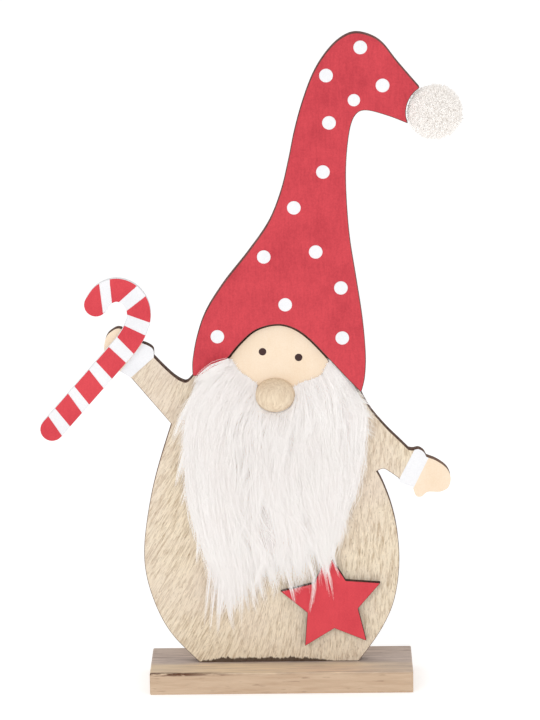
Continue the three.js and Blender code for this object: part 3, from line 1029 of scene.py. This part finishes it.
def strayLocks(routes, seed):
    # each route gets a loose lock and another one beside it
    dice = random.Random(seed)
    strays = []
    for points in routes:
        for _ in range(2):
            shiftX, shiftZ = dice.gauss(0, 0.9), dice.gauss(0, 1.2)
            line, whole = measuredLine([(x + shiftX, z + shiftZ) for x, z in points], 6)
            stray = []
            for k in range(8):
                along = k / 7
                place, _ = line(along * whole * 0.999)
                x, z = clearOfNose(place.x, place.y)
                floor = floorUnder(x, z)
                lift = beard["strayLift"] * math.sin(math.pi * (0.25 + 0.7 * along)) + 2.2 * (1 - along)
                stray.append((x, floor - max(lift, 0.1), z, along, floor))
            strays.append(stray)
    return strays


def edgeRoutes():
    # wisps that leave both sides of the beard, one under the other
    dice = random.Random(beard["seed"] + 1)
    columns = [measuredLine(line, 8) for line in beard["flow"]]
    routes = []
    for i in range(beard["edgeWisps"]):
        down = 0.1 + 0.76 * (i + dice.random()) / beard["edgeWisps"]
        for inner, middle, outer in ((0.13, 0.01, -0.1), (0.89, 0.995, 1.08)):
            reach = dice.uniform(0.7, 1.25)
            spots = [(inner, down), (middle, down + 0.08 * reach), (outer, down + 0.17 * reach)]
            routes.append([tuple(flowPlace(columns, u, min(v, 1.04))) for u, v in spots])
    return routes


def makeFurTree():
    inputs = [
        ("Geometry", "NodeSocketGeometry", None), ("Strands", "NodeSocketInt", 30),
        ("Lock Radius", "NodeSocketFloat", 0.002), ("Tip Share", "NodeSocketFloat", 0.2),
        ("Strand Radius", "NodeSocketFloat", 0.0001), ("Frizz", "NodeSocketFloat", 0.002),
        ("Shortest", "NodeSocketFloat", 0.7), ("Seed", "NodeSocketInt", 1),
        ("Material", "NodeSocketMaterial", None),
    ]
    outputs = [("Geometry", "NodeSocketGeometry")]
    tree, ins, outs = newGroup("fur strands", "GeometryNodeTree", inputs, outputs)

    def perStrand(socket, kind):
        return put(tree, "GeometryNodeFieldOnDomain", {0: socket}, domain="CURVE", data_type=kind).outputs[0]

    def attribute(name):
        return put(tree, "GeometryNodeInputNamedAttribute", {"Name": name}, data_type="FLOAT").outputs[0]

    def chance(seedShift, low, high):
        seed = calc(tree, "ADD", ins["Seed"], seedShift)
        picked = put(tree, "FunctionNodeRandomValue", {2: low, 3: high, "Seed": seed}, data_type="FLOAT")
        return perStrand(picked.outputs[1], "FLOAT")

    lines = put(tree, "GeometryNodeMeshToCurve", {0: ins["Geometry"]}).outputs[0]
    many = put(tree, "GeometryNodeDuplicateElements", {"Geometry": lines, "Amount": ins["Strands"]},
               domain="SPLINE").outputs[0]
    along = attribute("along")
    apart = put(tree, "FunctionNodeRandomValue", {0: (-1, -1, -1), 1: (1, 1, 1), "Seed": ins["Seed"]},
                data_type="FLOAT_VECTOR").outputs[0]
    apart = perStrand(apart, "FLOAT_VECTOR")
    gather = put(tree, "ShaderNodeMapRange", {
        "Value": calc(tree, "POWER", along, 0.8), "To Min": 1.0, "To Max": ins["Tip Share"],
    }).outputs[0]
    seldom = calc(tree, "POWER", chance(5, 0.0, 1.0), 5.0)
    strayed = calc(tree, "ADD", 0.75, calc(tree, "MULTIPLY", seldom, 1.5))
    opening = calc(tree, "MINIMUM", calc(tree, "ADD", 0.35, calc(tree, "MULTIPLY", along, 3.0)), 1.0)
    spread = calc(tree, "MULTIPLY", calc(tree, "MULTIPLY", gather, ins["Lock Radius"]), strayed)
    spread = calc(tree, "MULTIPLY", spread, opening)
    offset = put(tree, "ShaderNodeVectorMath", {0: apart, "Scale": spread}, operation="SCALE").outputs[0]
    position = put(tree, "GeometryNodeInputPosition").outputs[0]
    wave = put(tree, "ShaderNodeTexNoise", {
        "Vector": position, "W": chance(7, 0.0, 40.0), "Scale": 95.0, "Detail": 1.0,
    }, noise_dimensions="4D").outputs[1]
    wave = vectorCalc(tree, "SUBTRACT", wave, (0.5, 0.5, 0.5))
    loose = calc(tree, "MULTIPLY", calc(tree, "MULTIPLY", along, ins["Frizz"]), chance(9, 0.15, 1.0))
    wave = put(tree, "ShaderNodeVectorMath", {0: wave, "Scale": loose}, operation="SCALE").outputs[0]
    moved = put(tree, "GeometryNodeSetPosition", {
        "Geometry": many, "Offset": vectorCalc(tree, "ADD", offset, wave),
    }).outputs[0]

    # keep the strands in front of what is behind them and off the nose
    position = put(tree, "GeometryNodeInputPosition").outputs[0]
    place = put(tree, "ShaderNodeSeparateXYZ", {0: position}).outputs
    inFront = calc(tree, "MINIMUM", place[1], attribute("floor"))
    slope = calc(tree, "MULTIPLY", calc(tree, "ADD", place[0], 30 * mm), 1.04)
    pastArch = calc(tree, "MAXIMUM", slope, 0.0)
    overHat = calc(tree, "GREATER_THAN", place[2], calc(tree, "ADD", pastArch, 145.6 * mm))
    overHat = calc(tree, "MULTIPLY", overHat, calc(tree, "LESS_THAN", place[0], 0.0))
    inFront = calc(tree, "MINIMUM", inFront, calc(tree, "MULTIPLY", overHat, (hatFront - 0.3) * mm))
    cx, cz = noseSizes["centre"]
    dx = calc(tree, "SUBTRACT", place[0], cx * mm)
    dz = calc(tree, "SUBTRACT", place[2], cz * mm)
    qx = calc(tree, "DIVIDE", dx, noseSizes["halfWidth"] * mm)
    qz = calc(tree, "DIVIDE", dz, noseSizes["halfHeight"] * mm)
    squares = calc(tree, "ADD", calc(tree, "MULTIPLY", qx, qx), calc(tree, "MULTIPLY", qz, qz))
    reach = calc(tree, "SQRT", squares)
    push = calc(tree, "MAXIMUM", calc(tree, "DIVIDE", 1.035, calc(tree, "MAXIMUM", reach, 0.05)), 1.0)
    beside = calc(tree, "ADD", calc(tree, "MULTIPLY", dx, push), cx * mm)
    under = calc(tree, "ADD", calc(tree, "MULTIPLY", dz, push), cz * mm)
    # and below the slanting edge of the hat on the right cheek
    (ex, ez), (nx, nz) = beard["hatEdge"], beard["hatEdgeNormal"]
    past = calc(tree, "ADD", calc(tree, "MULTIPLY", calc(tree, "SUBTRACT", beside, ex * mm), nx),
                calc(tree, "MULTIPLY", calc(tree, "SUBTRACT", under, ez * mm), nz))
    past = calc(tree, "MAXIMUM", calc(tree, "ADD", past, 0.35 * mm), 0.0)
    beside = calc(tree, "SUBTRACT", beside, calc(tree, "MULTIPLY", past, nx))
    under = calc(tree, "SUBTRACT", under, calc(tree, "MULTIPLY", past, nz))
    kept = put(tree, "ShaderNodeCombineXYZ", {0: beside, 1: inFront, 2: under}).outputs[0]
    moved = put(tree, "GeometryNodeSetPosition", {"Geometry": moved, "Position": kept}).outputs[0]

    cutShort = put(tree, "GeometryNodeTrimCurve", {"Curve": moved}, mode="FACTOR")
    shortest = calc(tree, "ADD", ins["Shortest"], calc(tree, "MULTIPLY", chance(13, 0.0, 1.0),
                    calc(tree, "SUBTRACT", 1.0, ins["Shortest"])))
    tree.links.new(shortest, cutShort.inputs["End"])
    shaded = put(tree, "GeometryNodeStoreNamedAttribute", {
        "Geometry": cutShort.outputs[0], "Name": "shade",
    }, data_type="FLOAT", domain="CURVE")
    tree.links.new(chance(17, 0.0, 1.0), shaded.inputs["Value"])
    factor = put(tree, "GeometryNodeSplineParameter").outputs["Factor"]
    taper = calc(tree, "SUBTRACT", 1.0, calc(tree, "MULTIPLY", calc(tree, "POWER", factor, 1.6), 0.82))
    thickness = calc(tree, "MULTIPLY", taper, ins["Strand Radius"])
    width = calc(tree, "MULTIPLY", thickness, chance(21, 0.65, 1.2))
    ring = put(tree, "GeometryNodeCurvePrimitiveCircle", {"Resolution": 3, "Radius": 1.0}).outputs[0]
    tubes = put(tree, "GeometryNodeCurveToMesh", {
        "Curve": shaded.outputs[0], "Profile Curve": ring, "Scale": width, "Fill Caps": True,
    }).outputs[0]
    smooth = put(tree, "GeometryNodeSetShadeSmooth", {0: tubes}).outputs[0]
    real = put(tree, "GeometryNodeRealizeInstances", {0: smooth}).outputs[0]
    done = put(tree, "GeometryNodeSetMaterial", {0: real, "Material": ins["Material"]}).outputs[0]
    tree.links.new(done, outs[0])
    return tree


def lineHolder(lines):
    # polylines with how far along each point is and what lies behind it
    verts, edges, along, floor = [], [], [], []
    for line in lines:
        first = len(verts)
        for x, y, z, share, behind in line:
            verts.append((x * mm, y * mm, z * mm))
            along.append(share)
            floor.append(behind * mm)
        edges += [(k, k + 1) for k in range(first, len(verts) - 1)]
    mesh = bpy.data.meshes.new("hair_lines")
    mesh.from_pydata(verts, edges, [])
    mesh.attributes.new("along", "FLOAT", "POINT").data.foreach_set("value", along)
    mesh.attributes.new("floor", "FLOAT", "POINT").data.foreach_set("value", floor)
    holder = bpy.data.objects.new("hair_lines", mesh)
    scene.collection.objects.link(holder)
    return holder


makeUndercoat()
furTree = makeFurTree()
locks = makeLocks()
for number in range(beard["pieces"]):
    part = locks[number::beard["pieces"]]
    hair = runTree(lineHolder(part), furTree, {
        "Strands": beard["strandsPerLock"], "Lock Radius": beard["lockRadius"] * mm,
        "Tip Share": beard["tipShare"], "Strand Radius": beard["strandRadius"] * mm,
        "Frizz": beard["frizz"] * mm, "Shortest": 0.62, "Seed": 30 + number, "Material": furFibre,
    })
    piece = addPiece(f"beard_fur_{number + 1}", hair)
    if number == 0:
        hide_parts("beard_pile")
    print(piece.name, len(hair.polygons), "faces")
for name, lines, word, seed in (
    ("beard_wisps", strayLocks(beard["strays"], 61), "stray", 61),
    ("beard_side_wisps", strayLocks(edgeRoutes(), 67), "edge", 67),
    ("beard_cheeks", cheekLocks(), "cheek", 71),
):
    hair = runTree(lineHolder(lines), furTree, {
        "Strands": beard[word + "Strands"], "Lock Radius": beard[word + "Radius"] * mm,
        "Tip Share": beard[word + "TipShare"], "Strand Radius": beard["strandRadius"] * mm,
        "Frizz": beard["frizz"] * 0.6 * mm, "Shortest": 0.6, "Seed": seed, "Material": furFibre,
    })
    addPiece(name, hair)
    print(name, len(hair.polygons), "faces")


ball = {
    "centre": (71.2, -6.0, 264.8), "core": 8.9, "outer": 12.0, "fibres": 7000, "fibreRadius": 0.15, "seed": 5,
    "tufts": 150, "tuftHeight": 1.1, "tuftWidth": 0.13,
}


def makePompomTree():
    inputs = [
        ("Geometry", "NodeSocketGeometry", None), ("Density", "NodeSocketFloat", 4e6),
        ("Length", "NodeSocketFloat", 0.003), ("Fibre Radius", "NodeSocketFloat", 0.0002),
        ("Seed", "NodeSocketInt", 1), ("Material", "NodeSocketMaterial", None),
    ]
    outputs = [("Geometry", "NodeSocketGeometry")]
    tree, ins, outs = newGroup("pompom fibres", "GeometryNodeTree", inputs, outputs)
    scatter = put(tree, "GeometryNodeDistributePointsOnFaces", {
        "Mesh": ins["Geometry"], "Density": ins["Density"], "Seed": ins["Seed"],
    }, distribute_method="RANDOM")
    line = put(tree, "GeometryNodeCurvePrimitiveLine", {"Start": (0, 0, 0), "End": (0, 0, 1)}).outputs[0]
    line = put(tree, "GeometryNodeResampleCurve", {0: line, "Count": 5}).outputs[0]
    factor = put(tree, "GeometryNodeSplineParameter").outputs["Factor"]
    swirl = calc(tree, "MULTIPLY", factor, 4.2)
    reach = calc(tree, "MULTIPLY", factor, 0.24)
    curl = put(tree, "ShaderNodeCombineXYZ", {
        0: calc(tree, "MULTIPLY", calc(tree, "SINE", swirl), reach),
        1: calc(tree, "MULTIPLY", calc(tree, "SUBTRACT", 1.0, calc(tree, "COSINE", swirl)), reach),
    }).outputs[0]
    line = put(tree, "GeometryNodeSetPosition", {"Geometry": line, "Offset": curl}).outputs[0]
    stored = put(tree, "GeometryNodeStoreNamedAttribute", {"Geometry": line, "Name": "along"},
                 data_type="FLOAT", domain="POINT")
    tree.links.new(factor, stored.inputs["Value"])
    ring = put(tree, "GeometryNodeCurvePrimitiveCircle", {"Resolution": 3, "Radius": 1.0}).outputs[0]
    width = calc(tree, "DIVIDE", ins["Fibre Radius"], ins["Length"])
    fibre = put(tree, "GeometryNodeCurveToMesh", {
        "Curve": stored.outputs[0], "Profile Curve": ring, "Scale": width, "Fill Caps": True,
    }).outputs[0]
    turn = put(tree, "FunctionNodeRandomValue", {0: (-0.35, -0.35, 0.0), 1: (0.35, 0.35, 6.28), "Seed": 3},
               data_type="FLOAT_VECTOR").outputs[0]
    turned = put(tree, "FunctionNodeRotateRotation", {0: scatter.outputs["Rotation"], 1: put(
        tree, "FunctionNodeEulerToRotation", {0: turn}).outputs[0]}, rotation_space="LOCAL").outputs[0]
    size = put(tree, "FunctionNodeRandomValue", {2: 0.74, 3: 1.0, "Seed": 8}, data_type="FLOAT").outputs[1]
    size = calc(tree, "MULTIPLY", size, ins["Length"])
    placed = put(tree, "GeometryNodeInstanceOnPoints", {
        "Points": scatter.outputs["Points"], "Instance": fibre, "Rotation": turned, "Scale": size,
    }).outputs[0]
    shade = put(tree, "FunctionNodeRandomValue", {2: 0.0, 3: 1.0, "Seed": 12}, data_type="FLOAT").outputs[1]
    toned = put(tree, "GeometryNodeStoreNamedAttribute", {"Geometry": placed, "Name": "shade"},
                data_type="FLOAT", domain="INSTANCE")
    tree.links.new(shade, toned.inputs["Value"])
    real = put(tree, "GeometryNodeRealizeInstances", {0: toned.outputs[0]}).outputs[0]
    both = tree.nodes.new("GeometryNodeJoinGeometry")
    tree.links.new(real, both.inputs[0])
    tree.links.new(ins["Geometry"], both.inputs[0])
    smooth = put(tree, "GeometryNodeSetShadeSmooth", {0: both.outputs[0]}).outputs[0]
    done = put(tree, "GeometryNodeSetMaterial", {0: smooth, "Material": ins["Material"]}).outputs[0]
    tree.links.new(done, outs[0])
    return tree


def makePompom():
    shape = bmesh.new()
    bmesh.ops.create_icosphere(shape, subdivisions=4, radius=ball["core"] * mm)
    dice = random.Random(ball["seed"])
    tufts = [Vector([dice.gauss(0, 1) for _ in range(3)]).normalized() for _ in range(ball["tufts"])]
    for vert in shape.verts:
        nearest = min((vert.co.normalized() - tuft).length for tuft in tufts)
        swell = ball["tuftHeight"] * mm * math.exp(-(nearest / ball["tuftWidth"]) ** 2)
        vert.co += vert.co.normalized() * (swell + dice.uniform(-0.1, 0.1) * mm)
    bmesh.ops.translate(shape, verts=shape.verts, vec=Vector(ball["centre"]) * mm)
    holder = bpy.data.objects.new("pompom_core", meshFrom(shape, "pompom_core", [pompomYarn]))
    scene.collection.objects.link(holder)
    area = 4 * math.pi * (ball["core"] * mm) ** 2
    mesh = runTree(holder, makePompomTree(), {
        "Density": ball["fibres"] / area, "Length": (ball["outer"] - ball["core"]) * mm,
        "Fibre Radius": ball["fibreRadius"] * mm, "Seed": ball["seed"], "Material": pompomYarn,
    })
    addPiece("hat_pompom", mesh, ["pompom"])
    print("hat_pompom", len(mesh.polygons), "faces")


makePompom()


studio = {
    "camera": (0.0182, -1.5853, 0.5114), "lookDown": 12.79, "turn": 0.783, "roll": -0.796, "lens": 180,
    "world": 0.78, "key": 5.6, "fill": 3.6, "floorReach": 8, "floorGlow": 0.3,
}


def makeStudio():
    floorMesh = bpy.data.meshes.new("floor")
    reach = studio["floorReach"]
    corners = [(-reach, -reach, 0), (reach, -reach, 0), (reach, reach, 0), (-reach, reach, 0)]
    floorMesh.from_pydata(corners, [], [(0, 1, 2, 3)])
    floor = bpy.data.objects.new("floor", floorMesh)
    scene.collection.objects.link(floor)
    material, tree, shader, _ = newMaterial("pale floor", 0.9, 0.1)
    shader.inputs["Base Color"].default_value = (0.95, 0.95, 0.95, 1)
    shader.inputs["Emission Color"].default_value = (1, 1, 1, 1)
    shader.inputs["Emission Strength"].default_value = studio["floorGlow"]
    floorMesh.materials.append(material)

    world = bpy.data.worlds.new("soft white")
    world.use_nodes = True
    back = next(n for n in world.node_tree.nodes if n.type == "BACKGROUND")
    back.inputs["Color"].default_value = (1, 1, 1, 1)
    back.inputs["Strength"].default_value = studio["world"]
    scene.world = world

    for name, place, size, power in (
        ("key", (-0.7, -1.5, 0.95), 0.9, studio["key"]), ("fill", (0.9, -1.4, 0.25), 1.2, studio["fill"]),
    ):
        light = bpy.data.lights.new(name, "AREA")
        light.shape, light.size, light.energy = "DISK", size, power
        lamp = bpy.data.objects.new(name, light)
        lamp.location = place
        lamp.rotation_euler = (Vector((0, 0, 0.15)) - Vector(place)).to_track_quat("-Z", "Y").to_euler()
        scene.collection.objects.link(lamp)

    lens = bpy.data.cameras.new("camera")
    lens.lens, lens.sensor_width, lens.clip_end = studio["lens"], 36, 50
    camera = bpy.data.objects.new("camera", lens)
    turn = Matrix.Rotation(math.radians(studio["turn"]), 4, "Z")
    tilt = Matrix.Rotation(math.radians(90 - studio["lookDown"]), 4, "X")
    roll = Matrix.Rotation(math.radians(studio["roll"]), 4, "Z")
    camera.matrix_world = Matrix.Translation(studio["camera"]) @ turn @ tilt @ roll
    scene.collection.objects.link(camera)
    scene.camera = camera
    scene.view_settings.view_transform = "Standard"


makeStudio()
print("studio set")
